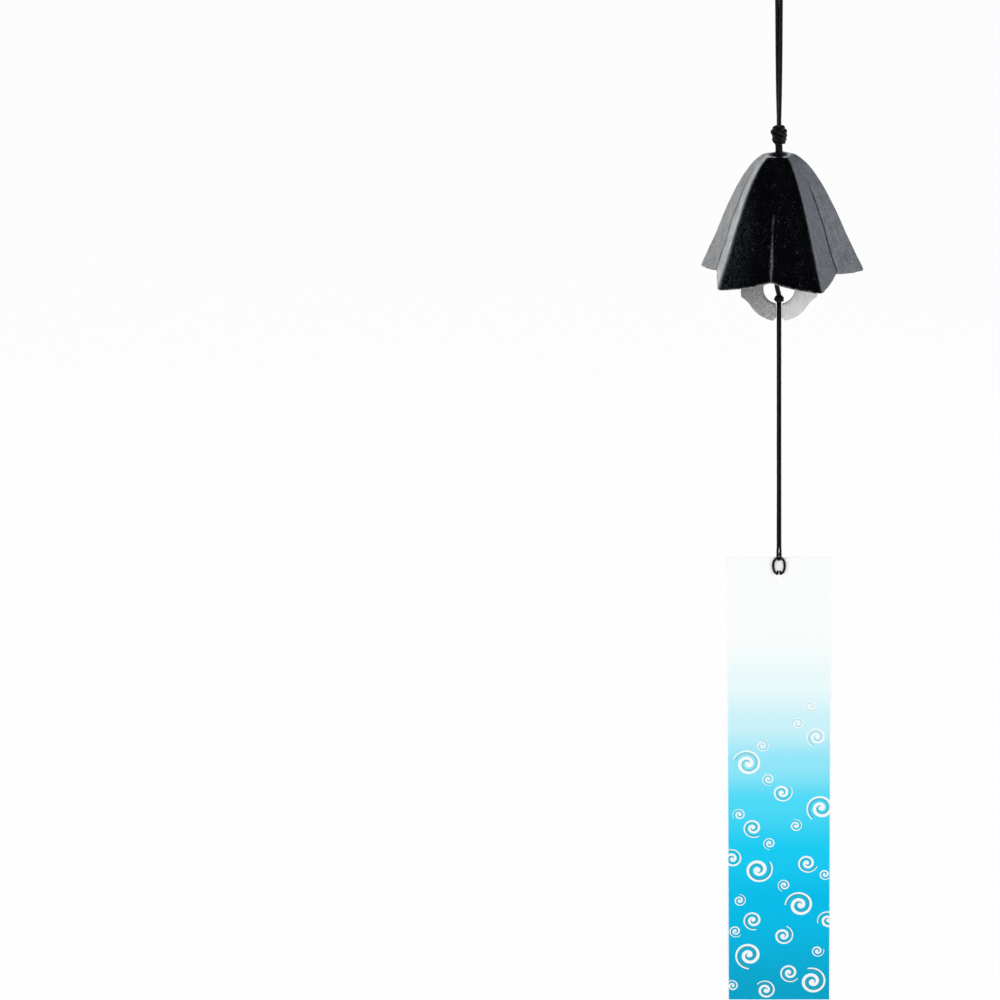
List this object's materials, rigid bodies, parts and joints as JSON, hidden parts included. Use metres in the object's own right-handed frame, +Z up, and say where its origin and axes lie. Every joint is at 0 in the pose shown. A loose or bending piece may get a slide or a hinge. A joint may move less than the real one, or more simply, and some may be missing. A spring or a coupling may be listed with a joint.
{
  "type": "wind bell",
  "caption": "Flower-shaped cast iron wind bell with a flat ring clapper and a long printed paper tag, strung one below the other on doubled cord.",
  "frame": {"origin": "inside of the hanging loop's top, where a hook carries the wind bell", "axes": "+Z up along the cord, -Y the front face that the tag and the clapper lie flat to, +X to the right seen from the front"},
  "size_m": [0.0762, 0.0755, 0.5096],
  "materials": {
    "braided_cord": "fine braid, matt",
    "waxed_cord": "smooth, waxed",
    "bell_iron": "satin black over fine casting grain",
    "clapper_iron": "bare grey, grainy",
    "tag_paper": "printed, matt"
  },
  "bodies": {
    "loop": {"hanging_loop": "braided_cord"},
    "cord_above_bell": {"hanging_cord": "braided_cord"},
    "knot_above_bell": {"hanging_knot": "braided_cord"},
    "cord_in_crown": {"neck_cord": "braided_cord"},
    "bell": {"bell": "bell_iron"},
    "stop_knot": {"crown_knot": "braided_cord"},
    "cord_in_bell": {"clapper_cord": "waxed_cord"},
    "clapper": {"clapper_hitch": "waxed_cord", "clapper": "clapper_iron", "window_cord": "waxed_cord"},
    "knot_above_slit": {"slit_knot": "waxed_cord"},
    "cord_in_slit": {"slit_cord": "waxed_cord"},
    "cord_above_tag": {"tag_cord": "waxed_cord"},
    "tag": {"tag_hitch": "waxed_cord", "tag": "tag_paper"}
  },
  "joints": [
    {"name": "loop_swing", "type": "hinge", "parent": "loop", "child": "cord_above_bell", "pos_m": [0, 0, -0.01435], "axis": [0, 1, 0], "range_deg": [-20, 20]},
    {"name": "bell_swing", "type": "hinge", "parent": "cord_above_bell", "child": "knot_above_bell", "pos_m": [0, 0, -0.0723], "axis": [0, 1, 0], "range_deg": [-25, 25]},
    {"name": "bell_nod", "type": "hinge", "parent": "knot_above_bell", "child": "cord_in_crown", "pos_m": [0, 0, -0.0835], "axis": [1, 0, 0], "range_deg": [-20, 20]},
    {"name": "bell_turn", "type": "hinge", "parent": "cord_in_crown", "child": "bell", "pos_m": [0, 0, -0.0867], "axis": [0, 0, 1], "continuous": true},
    {"name": "clapper_nod", "type": "hinge", "parent": "bell", "child": "stop_knot", "pos_m": [0, 0, -0.0931], "axis": [1, 0, 0], "range_deg": [-10, 10]},
    {"name": "clapper_swing", "type": "hinge", "parent": "stop_knot", "child": "cord_in_bell", "pos_m": [0, 0, -0.0931], "axis": [0, 1, 0], "range_deg": [-10, 10]},
    {"name": "clapper_turn", "type": "hinge", "parent": "cord_in_bell", "child": "clapper", "pos_m": [0, 0, -0.1312], "axis": [0, 0, 1], "continuous": true},
    {"name": "tag_nod", "type": "hinge", "parent": "clapper", "child": "knot_above_slit", "pos_m": [0, 0, -0.15559], "axis": [1, 0, 0], "range_deg": [-30, 30]},
    {"name": "tag_turn", "type": "hinge", "parent": "knot_above_slit", "child": "cord_in_slit", "pos_m": [0, 0, -0.1576], "axis": [0, 0, 1], "continuous": true},
    {"name": "tag_swing", "type": "hinge", "parent": "cord_in_slit", "child": "cord_above_tag", "pos_m": [0, 0, -0.16487], "axis": [0, 1, 0], "range_deg": [-30, 30]},
    {"name": "tag_flap", "type": "hinge", "parent": "cord_above_tag", "child": "tag", "pos_m": [0, 0, -0.27785], "axis": [1, 0, 0], "range_deg": [-40, 40]}
  ]
}
